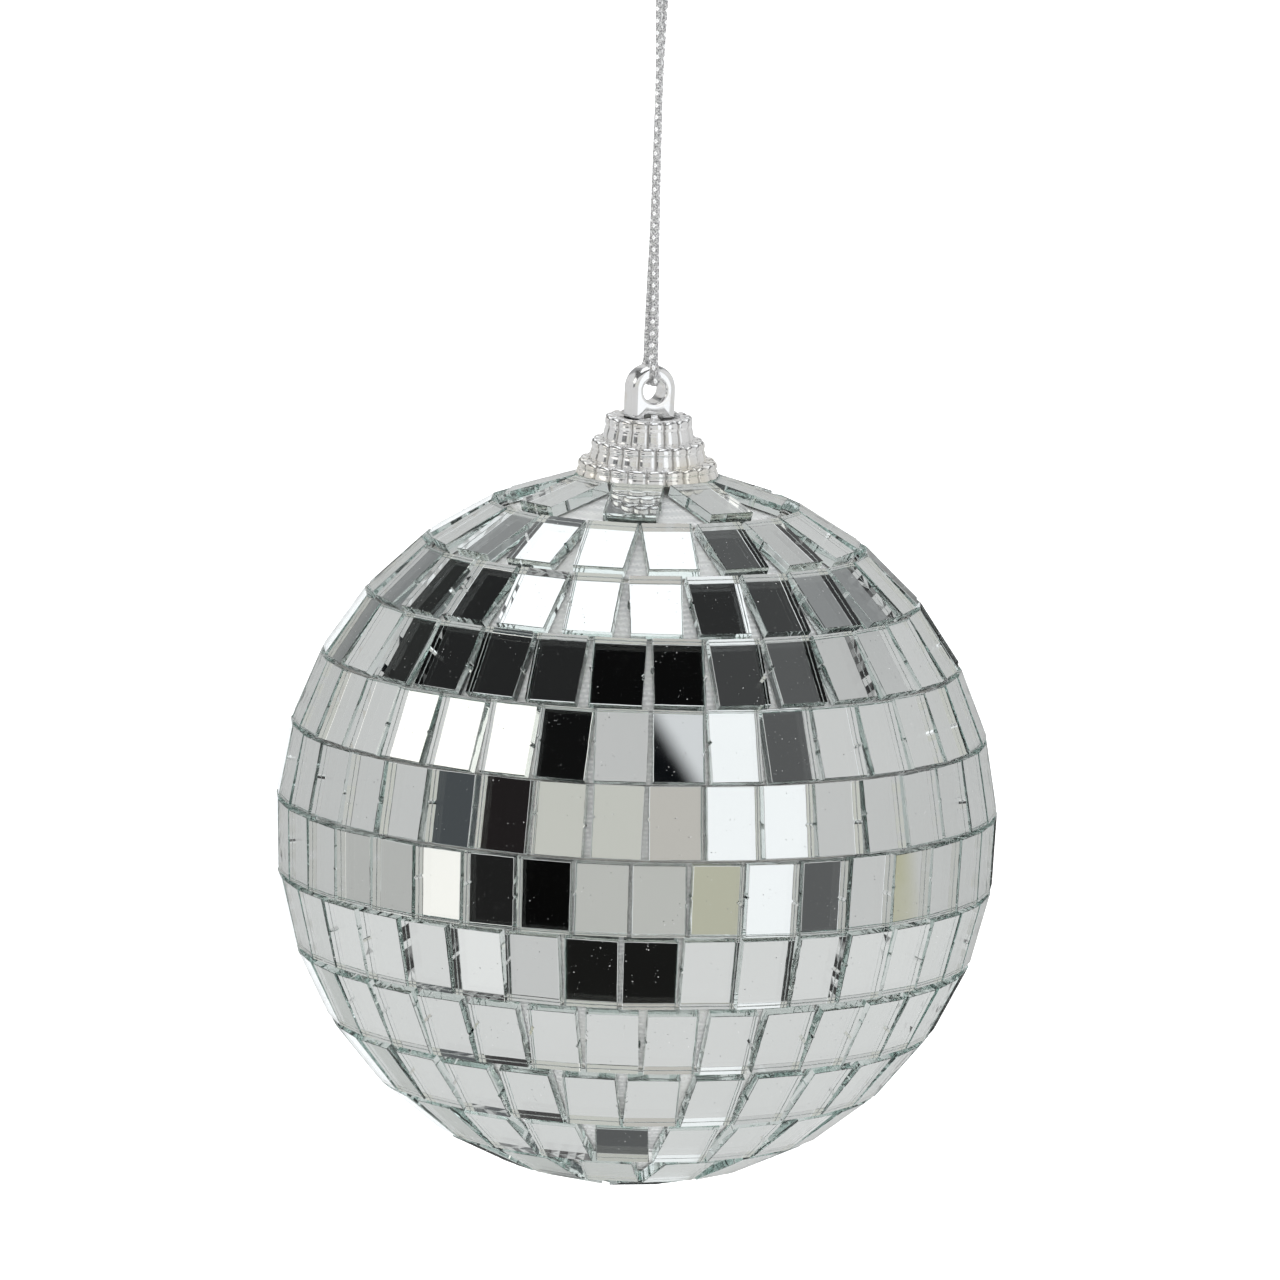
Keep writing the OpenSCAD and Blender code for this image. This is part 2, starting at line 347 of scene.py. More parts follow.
def braid(turn, along):
    """(height, foil) of a round braid at a share of a turn and a length.

    Yarns cross over and under. The foil shows in stitches: bright ones on two opposite sides of the cord,
    faint ones between them.
    """
    u, v = YARNS * turn + along / YARN_PITCH, YARNS * turn - along / YARN_PITCH
    i, j = math.floor(u), math.floor(v)
    one = arch(u) * (1 - UNDER + UNDER * (-1) ** i * math.sin(math.pi * v))
    other = arch(v) * (1 - UNDER - UNDER * (-1) ** j * math.sin(math.pi * u))
    bright = 1.0 if (i + j) % 4 == 2 else FAINT_FOIL
    foil = bright * arch(u) * arch(v) if i % 2 == 0 and j % 2 == 0 else 0.0
    return max(one, other) * (1 - FOIL_RISE) + FOIL_RISE * foil, foil


def braided(name, line, material, radius=CORD_D / 2, taper=0.0):
    """A braided tube along a line of points, closed at both ends."""
    points, foils, uvs = [], [], []
    heading = (line[1] - line[0]).normalized()
    side = heading.cross(Vector((0.3, 1, 0.1))).normalized()
    along = 0.0
    for n, centre in enumerate(line):
        here = (line[min(n + 1, len(line) - 1)] - line[max(n - 1, 0)]).normalized()
        side = (side - here * side.dot(here)).normalized()
        other = here.cross(side)
        if n:
            along += (centre - line[n - 1]).length
        width = radius * (1 - taper * n / (len(line) - 1))
        for k in range(CORD_SIDES):
            turn = k / CORD_SIDES
            height, foil = braid(turn, along)
            reach = width * (1 + BRAID_DEPTH * (height - MEAN_HEIGHT))
            a = 2 * math.pi * turn
            points.append(centre + reach * (math.cos(a) * side + math.sin(a) * other))
            foils.append(foil)
            uvs.append((turn * YARNS, along / YARN_PITCH))
    faces = grid_faces(len(line), CORD_SIDES)
    faces.append(tuple(range(CORD_SIDES - 1, -1, -1)))
    faces.append(tuple(range(len(points) - CORD_SIDES, len(points))))
    piece = make_piece(name, points, faces, [material], smooth=True)
    mark_braid(piece.data, foils, uvs)
    return piece


def mark_braid(mesh, foils, uvs):
    """Stores which points are foil, and the braid's own coordinates, on a mesh."""
    mesh.attributes.new("foil", "FLOAT", "POINT").data.foreach_set("value", foils)
    layer = mesh.uv_layers.new(name="braid")
    for polygon in mesh.polygons:
        corners = [uvs[mesh.loops[i].vertex_index] for i in polygon.loop_indices]
        seam = max(c[0] for c in corners) - min(c[0] for c in corners) > YARNS / 2
        for i, (u, v) in zip(polygon.loop_indices, corners):
            layer.data[i].uv = (u + YARNS if seam and u < YARNS / 2 else u, v)


def make_cord():
    """The doubled cord from the knot, down through the eye and back up, with its knot and tails."""
    material = cord_material()
    front = list(reversed(STRAND_ROUTE))
    down = front + list(BIGHT_ROUTE)
    route = down + list(reversed(mirrored(down)))[1:]
    line = spline(route, CORD_STEP)
    cord = braided("hanging_cord", line, material)
    knot = make_knot(material)
    tails = [braided(f"cord_tail_{n}", spline(r, CORD_STEP), material, taper=TAIL_TAPER)
             for n, r in enumerate((TAIL_ROUTE, mirrored(TAIL_ROUTE)), 1)]
    for n, tail in enumerate(tails):
        fray(f"frayed_end_{n + 1}", (TAIL_ROUTE, mirrored(TAIL_ROUTE))[n], tail, material)
    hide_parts("cord_front_strand", "cord_back_strand", "cord_bight")
    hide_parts("cord_knot")
    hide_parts("cord_tails")
    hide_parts("cord_tails")
    for piece in [knot, *tails]:
        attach(piece, "cord")
    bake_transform(cord)


KNOT_COIL_R = 1.02
KNOT_FOOT = 1.35
KNOT_TOP = 3.0
KNOT_TURNS = 2.5
KNOT_POINTS = 40
KNOT_TUCK = 0.35
KNOT_TUCK_SHARE = 0.1
CROSSING_R = 0.34


def make_knot(material):
    """An overhand knot drawn tight: the cord coils round its own two strands and tucks back under."""
    coil = []
    for n in range(KNOT_POINTS + 1):
        t = n / KNOT_POINTS
        a = 2 * math.pi * KNOT_TURNS * t
        end = max(0, t - 1 + KNOT_TUCK_SHARE) + max(0, KNOT_TUCK_SHARE - t)
        r = KNOT_COIL_R - KNOT_TUCK * end / KNOT_TUCK_SHARE
        coil.append((r * math.cos(a), r * math.sin(a), lerp(KNOT_FOOT, KNOT_TOP, t)))
    knot = braided("cord_overhand_knot", spline(coil, CORD_STEP), material)
    for sign in (-1, 1):
        core = [(0.5 * sign, 0, 0.9), (0.46 * sign, 0.1, 2.1), (0.5 * sign, 0, 3.3)]
        braided(f"knot_core_{1 if sign < 0 else 2}", spline(core, CORD_STEP), material).parent = knot
    over = [(-0.9, -1.05, 1.3), (-0.3, -1.42, 1.8), (0.4, -1.42, 2.5), (0.95, -1.0, 3.05)]
    braided("knot_crossing", spline(over, CORD_STEP), material, radius=CROSSING_R).parent = knot
    return knot


FRAY_FIBRES = 14
FIBRE_R = 0.04


def fray(name, route, tail, material):
    """Loose fibres that spread from a cut end of the cord."""
    draw = random.Random(name)
    end = Vector(route[-1])
    heading = (end - Vector(route[-2])).normalized()
    points, faces = [], []
    for n in range(FRAY_FIBRES):
        a = 2 * math.pi * n / FRAY_FIBRES + draw.uniform(-0.3, 0.3)
        out = heading.orthogonal().normalized()
        out.rotate(Matrix.Rotation(a, 3, heading))
        start = end - heading * 0.3 + out * draw.uniform(0.08, 0.3)
        bend = start + heading * draw.uniform(0.4, 0.6) + out * draw.uniform(0.02, 0.12)
        tip = bend + heading * draw.uniform(0.15, 0.45) + out * draw.uniform(0.1, 0.3)
        across = heading.cross(out) * FIBRE_R
        first = len(points)
        for p, w in ((start, 1.0), (bend, 0.9), (tip, 0.5)):
            points += [p + across * w, p - out * FIBRE_R * w, p - across * w, p + out * FIBRE_R * w]
        for j in range(2):
            for i in range(4):
                a0, a1 = first + 4 * j + i, first + 4 * j + (i + 1) % 4
                faces.append((a0, a1, a1 + 4, a0 + 4))
        faces += [tuple(first + i for i in (3, 2, 1, 0)), tuple(first + 8 + i for i in range(4))]
    make_piece(name, points, faces, [material]).parent = tail


make_cord()


# ---------------------------------------------------------------- more materials
def glass_material():
    """Clear, slightly green float glass with dust on it; its tint comes from the depth of glass crossed."""
    s = Shader("tile_glass")
    place = s.coords()
    dust = s.remap(s.voronoi(place, 900.0), 0.10, 0.04)
    patches = s.remap(s.noise(place, 140.0, 4.0), 0.55, 0.75)
    smear = s.remap(s.noise(place, 45.0, 5.0), 0.5, 0.8, 0.0, 0.03)
    s.set(Base_Color=(1, 1, 1, 1), IOR=1.52, Transmission_Weight=1.0,
          Roughness=s.math("MAXIMUM", s.math("MULTIPLY", s.math("MULTIPLY", dust, patches), 0.55), smear))
    s.bump(s.noise(place, 60.0, 2.0), 0.15, 0.00002)
    depth = s.node("ShaderNodeVolumeAbsorption", {"Color": (0.64, 0.80, 0.765, 1), "Density": 54.0})
    s.tree.links.new(depth.outputs[0], s.tree.nodes["Material Output"].inputs["Volume"])
    return s.material


def silvering_material():
    """The silver film on the back of the glass, a little cloudy, with pin holes."""
    s = Shader("tile_silvering")
    place = s.coords()
    cloud = s.noise(place, 90.0, 4.0)
    s.set(Metallic=1.0, Base_Color=s.mix(cloud, (0.9, 0.905, 0.9, 1), (0.95, 0.95, 0.945, 1)),
          Roughness=s.remap(cloud, 0.3, 0.8, 0.0, 0.035))
    return s.material


def paint_material():
    """Grey protective paint over the silvering, seen at the backs and rims of the tiles."""
    s = Shader("tile_back_paint")
    place = s.coords()
    grain = s.noise(place, 1400.0, 4.0)
    s.set(Base_Color=s.mix(grain, (0.5, 0.53, 0.52, 1), (0.64, 0.67, 0.66, 1)),
          Roughness=s.remap(grain, 0.3, 0.7, 0.45, 0.7))
    s.bump(grain, 0.4, 0.00003)
    return s.material


def dust_material():
    """Pale lint and grit on the glass."""
    s = Shader("tile_dust")
    tone = s.noise(s.coords(), 2500.0, 2.0)
    s.set(Base_Color=s.mix(tone, (0.3, 0.31, 0.32, 1), (0.85, 0.85, 0.84, 1)), Roughness=0.9)
    return s.material


def fabric_material():
    """Pale grey plain weave of the backing, with glue soaked into parts of it."""
    s = Shader("backing_fabric")
    place = s.coords()
    waves = []
    for axis in ("X", "Y", "Z"):
        waves.append(s.node("ShaderNodeTexWave", {"Vector": place, "Scale": 620.0, "Distortion": 0.6,
                                                  "Detail": 1.0}, bands_direction=axis).outputs["Fac"])
    weave = s.math("MAXIMUM", s.math("MULTIPLY", waves[0], waves[2]), s.math("MULTIPLY", waves[1], waves[2]))
    soaked = s.remap(s.noise(place, 160.0, 3.0), 0.45, 0.65)
    thread = s.mix(weave, (0.58, 0.59, 0.59, 1), (0.82, 0.825, 0.82, 1))
    s.set(Base_Color=s.mix(soaked, thread, (0.72, 0.73, 0.71, 1)),
          Roughness=s.remap(soaked, 0.0, 1.0, 0.85, 0.35), Sheen_Weight=0.2)
    s.bump(weave, 0.7, 0.00006)
    return s.material


def foam_material():
    """Expanded polystyrene: pressed white beads."""
    s = Shader("white_foam")
    beads = s.voronoi(s.coords(), 420.0)
    tone = s.mix(s.remap(beads, 0.1, 0.7), (0.96, 0.96, 0.95, 1), (0.8, 0.8, 0.79, 1))
    s.set(Base_Color=tone, Roughness=0.75)
    s.bump(beads, 0.8, -0.0002)
    return s.material


def glue_material():
    """Clear hot-melt glue, yellowed a little, with bubbles and ripples."""
    s = Shader("clear_glue")
    place = s.coords()
    ripple = s.noise(place, 260.0, 4.0)
    bubble = s.remap(s.voronoi(place, 700.0), 0.12, 0.2)
    tone = s.mix(ripple, (0.74, 0.73, 0.68, 1), (0.88, 0.87, 0.84, 1))
    s.set(Base_Color=s.mix(bubble, (0.93, 0.92, 0.9, 1), tone),
          Roughness=s.remap(ripple, 0.3, 0.7, 0.15, 0.4), Coat_Weight=0.4)
    s.bump(s.math("ADD", ripple, bubble), 0.5, 0.0001)
    return s.material


WARM_UP_TO = 4.5


def cap_material():
    """Vacuum-metallised plastic: bright silver, warmer where it is worn and low down, with painted shade that
    darkens it in each groove.
    """
    s = Shader("silver_cap")
    place = s.coords()
    wear = s.noise(place, 380.0, 5.0, 0.6)
    worn = s.remap(wear, 0.55, 0.72)
    # Painted shade: the groove depth stored on the cap's points is read here as the mask for the dark colour
    # below.
    groove = s.remap(s.node("ShaderNodeAttribute", attribute_name="groove").outputs["Fac"], 0.2, 1.0)
    height = s.node("ShaderNodeSeparateXYZ", {"Vector": place}).outputs["Z"]
    low = s.remap(height, (CAP_BASE + WARM_UP_TO - HANG_DROP) * MM, (CAP_BASE - HANG_DROP) * MM)
    warm = s.math("MULTIPLY", s.remap(s.noise(place, 150.0, 2.0), 0.38, 0.6), low)
    bright = s.mix(warm, (0.97, 0.97, 0.97, 1), (0.96, 0.92, 0.82, 1))
    tint = s.mix(s.math("MULTIPLY", worn, 0.6), bright, (0.84, 0.79, 0.7, 1))
    # The dark grey-brown mixed in by the groove depth is painted shade in each groove, not dirt.
    s.set(Metallic=0.85, Base_Color=s.mix(groove, tint, (0.28, 0.27, 0.25, 1)),
          Roughness=s.remap(wear, 0.3, 0.8, 0.04, 0.17))
    s.bump(s.noise(place, 900.0, 3.0), 0.12, 0.00003)
    return s.material


# ---------------------------------------------------------------- tiles
EDGE_PARTS = 9
END_PARTS = 6
FRONT_CHAMFER = 0.05
SILVER_MARGIN = 0.07
TILT = 0.4
SPIN = 0.7
SLIDE = 0.04
SINK = 0.04
SNUG_TILES = 0.72
SNUG = (0.0, 0.012)
LOOSE = (0.03, 0.075)
SHORTER = 0.015
CORNER_SHIFT = (0.05, 0.04)
ROUGH_UPRIGHT = 0.018
ROUGH_LEVEL = 0.014
CHIP = 0.012
NUB_CHANCE = 0.45
NUB_HALF = 0.03
NUB_TIP = (0.12, 0.24)
SPECK_COUNT = (4, 15)
SPECK_SIDES = 5
SPECK_R = (0.03, 0.11)
SPECK_H = 0.03
SPECK_TOP = 0.6
SPECK_SUNK = 0.004
SPECK_MARGIN = 0.3
# Material indices of a row's mesh, in the order of make_tiles
GLASS, SILVERING, PAINT, DUST = range(4)


def cut_edge(draw, a, b, parts, rough, nub):
    """Points from a to b along one cut edge of the glass, snapped unevenly, perhaps with a nub half way."""
    run = b - a
    out = Vector((run.y, -run.x)).normalized()
    points = []
    for n in range(parts):
        t = n / parts
        if nub and n == parts // 2:
            tip = out * draw.uniform(*NUB_TIP) * draw.choice((-1, 1))
            points += [a + run * (t - NUB_HALF), a + run * t + tip, a + run * (t + NUB_HALF)]
        else:
            points.append(a + run * t + out * (draw.uniform(-rough, rough) if n else 0.0))
    return points


def tile_outline(draw, width, height):
    """Outline of a hand-cut tile, anticlockwise from its lower left corner, in its own plane."""
    w, h = width / 2, height / 2
    wide, tall = CORNER_SHIFT
    corners = [Vector((x + draw.uniform(-wide, wide), y + draw.uniform(-tall, tall)))
               for x, y in ((-w, -h), (w, -h), (w, h), (-w, h))]
    outline = []
    for n in range(4):
        upright = n % 2 == 1
        parts, rough = (EDGE_PARTS, ROUGH_UPRIGHT) if upright else (END_PARTS, ROUGH_LEVEL)
        nub = upright and draw.random() < NUB_CHANCE
        outline += cut_edge(draw, corners[n], corners[(n + 1) % 4], parts, rough, nub)
    return outline


def shrunk(outline, margin):
    """The outline moved inwards by a margin, by scaling it about its middle."""
    w = max(p.x for p in outline)
    h = max(p.y for p in outline)
    return [Vector((p.x * (w - margin) / w, p.y * (h - margin) / h)) for p in outline]


def add_tile(points, faces, slots, place, outline, draw):
    """One slab of glass: chamfered front, rough sides, silvering behind, and a bare rim round it."""
    count = len(outline)
    chips = [Vector((draw.uniform(-CHIP, CHIP), draw.uniform(-CHIP, CHIP))) for _ in outline]
    rings = (
        (FACE_R, shrunk(outline, FRONT_CHAMFER)),
        (FACE_R - FRONT_CHAMFER, outline),
        (FACE_R - TILE_T, [p + c for p, c in zip(outline, chips)]),
        (FACE_R - TILE_T, shrunk(outline, SILVER_MARGIN)),
    )
    first = len(points)
    for out, ring in rings:
        for p in ring:
            points.append(hung(place @ Vector((out, p.x, p.y))))
    faces.append(tuple(first + i for i in range(count)))
    slots.append(GLASS)
    for j, slot in enumerate((GLASS, GLASS, PAINT)):
        for i in range(count):
            a, b = first + j * count + i, first + j * count + (i + 1) % count
            faces.append((b, a, a + count, b + count))
            slots.append(slot)
    last = first + 3 * count
    faces.append(tuple(last + i for i in range(count - 1, -1, -1)))
    slots.append(SILVERING)


def add_specks(points, faces, slots, place, outline, draw):
    """Specks of dust that lie on a tile's face."""
    w = max(p.x for p in outline) - SPECK_MARGIN
    h = max(p.y for p in outline) - SPECK_MARGIN
    for _ in range(draw.randrange(*SPECK_COUNT)):
        middle = Vector((draw.uniform(-w, w), draw.uniform(-h, h)))
        size = lerp(*SPECK_R, draw.random() ** 2)
        first = len(points)
        for out, share in ((FACE_R - SPECK_SUNK, 1.0), (FACE_R + SPECK_H * size / SPECK_R[1], SPECK_TOP)):
            for k in range(SPECK_SIDES):
                a = 2 * math.pi * k / SPECK_SIDES
                reach = size * share * (0.75 + 0.25 * math.sin(2 * a + middle.x * 9))
                x, y = middle.x + reach * math.cos(a), middle.y + reach * math.sin(a)
                points.append(hung(place @ Vector((out, x, y))))
        for k in range(SPECK_SIDES):
            a, b = first + k, first + (k + 1) % SPECK_SIDES
            faces.append((a, b, b + SPECK_SIDES, a + SPECK_SIDES))
        faces.append(tuple(first + k for k in range(SPECK_SIDES - 1, -1, -1)))
        faces.append(tuple(first + SPECK_SIDES + k for k in range(SPECK_SIDES)))
        slots += [DUST] * (SPECK_SIDES + 2)


def tile_place(lat, azimuth, draw):
    """Where one tile is glued, with the small tilt, spin and slide of a hand-laid tile."""
    tilt_up, tilt_round = (draw.uniform(-TILT, TILT) for _ in range(2))
    spin = draw.uniform(-SPIN, SPIN)
    slide = [draw.uniform(-SLIDE, SLIDE) for _ in range(2)]
    sink = -draw.uniform(0, SINK)
    tilt = turned("Y", tilt_up) @ turned("Z", tilt_round) @ turned("X", spin)
    pivot = Matrix.Translation((FACE_R, 0, 0))
    shift = Matrix.Translation((sink, slide[0], slide[1]))
    return turned("Z", azimuth) @ turned("Y", -lat) @ shift @ pivot @ tilt @ pivot.inverted()


tile_places = {}


def mirrored_direction(row, index):
    """(azimuth from the camera, elevation) of what the middle of one tile shows to the camera."""
    place = tile_places[row, index]
    middle = hung(place @ Vector((FACE_R, 0, 0)))
    normal = place.to_3x3() @ Vector((1, 0, 0))
    sight = (middle - camera_place() / MM).normalized()
    out = sight - 2 * sight.dot(normal) * normal
    azimuth = math.degrees(math.atan2(out.x, -out.y)) - VIEW_AZIMUTH
    return azimuth, math.degrees(math.asin(out.z))


def make_tiles(materials):
    """The rows of tiles and the tile at the lower pole. Every row has its own seeded draws."""
    for row, (lat, count, turn) in enumerate(zip(ROW_LATS, ROW_COUNTS, ROW_TURNS), 1):
        draw = random.Random(100 + row)
        points, faces, slots = [], [], []
        for i in range(count):
            place = tile_places[row, i] = tile_place(lat, turn + i * 360 / count, draw)
            narrower = draw.uniform(*(SNUG if draw.random() < SNUG_TILES else LOOSE))
            shorter = draw.uniform(0, SHORTER)
            outline = tile_outline(draw, ROW_TILE_W[row - 1] * (1 - narrower), TILE_H * (1 - shorter))
            add_tile(points, faces, slots, place, outline, draw)
            add_specks(points, faces, slots, place, outline, draw)
        finish_tiles(f"mirror_row_{row:02d}", points, faces, slots, materials, f"tile_row_{row:02d}")
    draw = random.Random(99)
    points, faces, slots = [], [], []
    place = turned("Z", BOTTOM_TURN) @ turned("Y", 90)
    add_tile(points, faces, slots, place, tile_outline(draw, BOTTOM_TILE_W, TILE_H), draw)
    finish_tiles("mirror_bottom", points, faces, slots, materials, "bottom_tile")


def finish_tiles(name, points, faces, slots, materials, node):
    """Makes one row's mesh, gives it its body, and hides the CAD node that it stands in for."""
    piece = make_piece(name, points, faces, materials, slots)
    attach(piece, "ball")
    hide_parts(node)


make_tiles([glass_material(), silvering_material(), paint_material(), dust_material()])


# ---------------------------------------------------------------- backing
STRIP_SIDES = 300
STRIP_PARTS = 8
CLOTH_SUNK = 0.11
CLOTH_OUTER = STRIP_OUTER - CLOTH_SUNK
PUCKER = 0.05
PATCH_SIDES = 96
PATCH_PARTS = 12
CUT_WAVES = 17
CUT_WAVE = 0.012


def pucker(azimuth, height, seed):
    """How far the cloth lies below its highest level at a point, as a share from 0 to 1."""
    a = math.radians(azimuth)
    return 0.5 + 0.25 * math.sin(23 * a + seed) + 0.25 * math.sin(41 * a + 1.7 * height + 2 * seed)


def make_backing(material):
    """The woven strips behind the rows, and the discs at the poles."""
    for row, lat in enumerate(ROW_LATS, 1):
        rings = []
        for j in range(STRIP_PARTS + 1):
            rings.append((CLOTH_OUTER, lerp(-TILE_H / 2, TILE_H / 2, j / STRIP_PARTS), True))
        for j in range(STRIP_PARTS, -1, -1):
            rings.append((STRIP_OUTER - STRIP_T, lerp(-TILE_H / 2, TILE_H / 2, j / STRIP_PARTS), False))
        points = []
        for out, height, outer in rings:
            for i in range(STRIP_SIDES):
                azimuth = 360 * i / STRIP_SIDES
                dip = PUCKER * pucker(azimuth, height, row) if outer else 0.0
                place = turned("Z", azimuth) @ turned("Y", -lat)
                points.append(hung(place @ Vector((out - dip, 0, height))))
        faces = grid_faces(len(rings), STRIP_SIDES, wrap_rows=True)
        piece = make_piece(f"woven_strip_{row:02d}", points, faces, [material], smooth=True)
        finish_backing(piece, f"backing_strip_{row:02d}")
    make_patch("woven_top_patch", "top_patch", TOP_PATCH_HOLE_R, TOP_PATCH_R, 1, material)
    make_patch("woven_bottom_patch", "bottom_patch", 0.05, BOTTOM_PATCH_R, -1, material)


def make_patch(name, node, inner_r, outer_r, up, material):
    """A curved disc of cloth at a pole, with a slightly uneven cut edge."""
    steps = [j / PATCH_PARTS for j in range(PATCH_PARTS + 1)]
    profile = [(lerp(inner_r, outer_r, t), CLOTH_OUTER) for t in steps]
    profile += [(lerp(outer_r, inner_r, t), STRIP_OUTER - STRIP_T) for t in steps]
    points = []
    for r, ball_r in profile:
        height = up * math.sqrt(ball_r ** 2 - r * r)
        for i in range(PATCH_SIDES):
            a = 2 * math.pi * i / PATCH_SIDES
            cut = 1 + CUT_WAVE * math.sin(CUT_WAVES * a) * (r / outer_r) ** 4
            points.append(hung((r * cut * math.cos(a), r * cut * math.sin(a), height)))
    faces = grid_faces(len(profile), PATCH_SIDES, wrap_rows=True)
    if up > 0:
        faces = [tuple(reversed(f)) for f in faces]
    finish_backing(make_piece(name, points, faces, [material], smooth=True), node)


def finish_backing(piece, node):
    """Gives a piece of cloth its body, and hides the CAD node that it stands in for."""
    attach(piece, "ball")
    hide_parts(node)


make_backing(fabric_material())


# ---------------------------------------------------------------- cap and eye
CAP_SIDES = 880
LOBE_POWER = 2.2
BEAD = 0.15
BEAD_DROP = 0.5
NECK = 0.66
NECK_WIDTH = 0.1
WALL_PARTS = 8
ROUNDING_STEP = 15
LIP = 0.14
CAP_LEAN = 3.0


def flute(azimuth, count, turn):
    """How deep the surface lies at an azimuth of a fluted tier, 0 on a flute's crest and 1 in a groove."""
    share = ((azimuth - turn) * count / 360 + 0.5) % 1 - 0.5
    return 1 - (1 - abs(2 * share) ** LOBE_POWER) ** (1 / LOBE_POWER)


def tier_profile(tier):
    """Rows of (radius, height, groove depth, groove drop, tier), from the foot of a tier over its beads."""
    r, h = TIER_R[tier], TIER_H[tier]
    foot = CAP_BASE + sum(TIER_H[:tier])
    top_r = r - TIER_TAPER
    rows = [(r - LIP, foot, 0.8, 0, tier), (r - 0.02, foot + 0.1, 1.0, 0, tier)]
    for j in range(1, WALL_PARTS + 1):
        t = j / WALL_PARTS
        waist = -0.5 * BEAD * math.exp(-((t - NECK) / NECK_WIDTH) ** 2)
        swell = BEAD * math.sin(math.pi * (t - NECK) / (1 - NECK) / 2) if t > NECK else 0.0
        height = lerp(foot + 0.1, foot + h - SHOULDER_R, t)
        rows.append((lerp(r, top_r, t) + waist + swell, height, 1.0, 0, tier))
    for a in range(ROUNDING_STEP, 91, ROUNDING_STEP):
        lift = math.radians(a)
        rows.append((top_r + BEAD - SHOULDER_R + SHOULDER_R * math.cos(lift),
                     foot + h - SHOULDER_R * (1 - math.sin(lift)), 1.0, BEAD_DROP * math.sin(lift), tier))
    return rows


def cap_profile():
    """The closed outline of the cap: up its three tiers, into the recess, and back down the hollow."""
    rows = []
    for tier in range(3):
        rows += tier_profile(tier)
        ledge = TIER_R[tier + 1] - LIP if tier < 2 else CAP_RECESS_R + 0.12
        top = CAP_BASE + sum(TIER_H[:tier + 1])
        crest = rows[-1][0]
        rows.append((lerp(crest, ledge, 0.35), top - 0.06, 0.6, 0.5 * BEAD_DROP, tier))
        rows.append((lerp(crest, ledge, 0.7), top - 0.05, 0.1, 0, tier))
        if tier == 2:
            rows.append((ledge, top - 0.02, 0, 0, tier))
    floor = CAP_TOP - CAP_RECESS_DEPTH
    wall = CAP_WALL + FLUTE_DEPTH + TIER_TAPER
    hollow = [(CAP_RECESS_R, CAP_TOP - LIP), (CAP_RECESS_R, floor), (STEM_R + 0.05, floor),
              (STEM_R + 0.05, floor - CAP_WALL), (TIER_R[2] - wall, floor - CAP_WALL)]
    for tier in (1, 0):
        step = CAP_BASE + sum(TIER_H[:tier + 1]) - CAP_WALL
        hollow += [(TIER_R[tier + 1] - wall, step), (TIER_R[tier] - wall, step)]
    hollow.append((TIER_R[0] - wall, CAP_BASE))
    return rows + [(r, z, 0, 0, 2) for r, z in hollow]


def make_cap(material):
    """The cap, pressed on by hand, so that it leans a little. The depth of each groove is stored on its points,
    for the material to paint shade with.
    """
    lean = Matrix.Rotation(math.radians(CAP_LEAN), 4, compass(VIEW_AZIMUTH + 90, 0))
    pivot = Matrix.Translation((0, 0, CAP_BASE))
    rows = cap_profile()
    points, groove_shade = [], []
    for radius, height, depth, drop, tier in rows:
        for i in range(CAP_SIDES):
            azimuth = 360 * i / CAP_SIDES
            groove = flute(azimuth, TIER_FLUTES[tier], TIER_TURNS[tier]) if depth or drop else 0.0
            # Groove depth kept only for the material's painted shade; it does not change the shape.
            groove_shade.append(groove * max(depth, 0.6) if depth else 0.0)
            r = radius - FLUTE_DEPTH * depth * groove
            a = math.radians(azimuth)
            place = Vector((r * math.cos(a), r * math.sin(a), height - drop * groove))
            points.append(hung(pivot @ lean @ pivot.inverted() @ place))
    faces = grid_faces(len(rows), CAP_SIDES, wrap_rows=True)
    piece = make_piece("three_tier_cap", points, faces, [material], smooth=True)
    piece.data.attributes.new("groove", "FLOAT", "POINT").data.foreach_set("value", groove_shade)
    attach(piece, "ball")
    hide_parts("fluted_cap")


EYE_SIDES = 144
STEM_SIDES = 48


def arch_reach(angle, inset):
    """Distance at an angle from the hole's centre to the tab's outline, moved in by an inset."""
    dx, dz = math.cos(angle), math.sin(angle)
    half = EYE_W / 2 - inset
    rise = EYE_ARCH_Z - EYE_HOLE_Z
    along = rise * dz
    reach = along + math.sqrt(along * along - rise * rise + half * half)
    if reach * dz < rise:
        reach = half / abs(dx) if abs(dx) > 1e-9 else 1e9
        drop = EYE_HOLE_Z - EYE_FOOT_Z
        if dz < 0:
            reach = min(reach, drop / -dz)
    return reach


